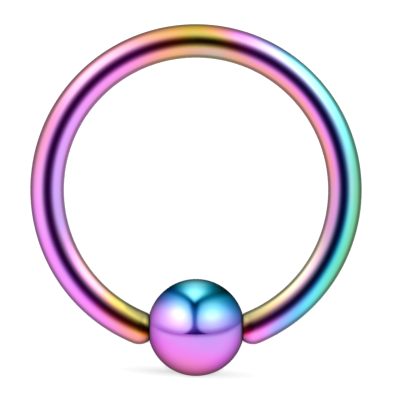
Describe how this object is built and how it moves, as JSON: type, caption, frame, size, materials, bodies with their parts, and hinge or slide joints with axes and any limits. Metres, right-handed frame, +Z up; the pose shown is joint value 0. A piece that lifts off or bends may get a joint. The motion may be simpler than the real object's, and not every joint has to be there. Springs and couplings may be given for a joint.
{
  "type": "captive bead septum ring",
  "caption": "Septum ring of round wire bent into an open hoop, with a bead held in the gap between its rounded tips.",
  "frame": {"origin": "on the surface that the ring lies on, under the middle of its bounding box", "axes": "+Z up from the surface, +Y toward the crown of the hoop, with the bead toward -Y, and +X along the line through the two tips of the wire"},
  "size_m": [0.01, 0.0106, 0.0029],
  "materials": {
    "wire_rainbow": "mirror polished steel with a rainbow oxide film, pink to violet, gold and teal round the hoop",
    "bead_rainbow": "mirror polished steel with a rainbow oxide film, lilac below and cyan blue above"
  },
  "bodies": {
    "ring": {"ring_wire": "wire_rainbow"},
    "bead": {"captive_bead": "bead_rainbow"}
  },
  "joints": [
    {"name": "bead_spin", "type": "hinge", "parent": "ring", "child": "bead", "pos_m": [0, -0.00383, 0.00147], "axis": [1, 0, 0], "continuous": true}
  ]
}
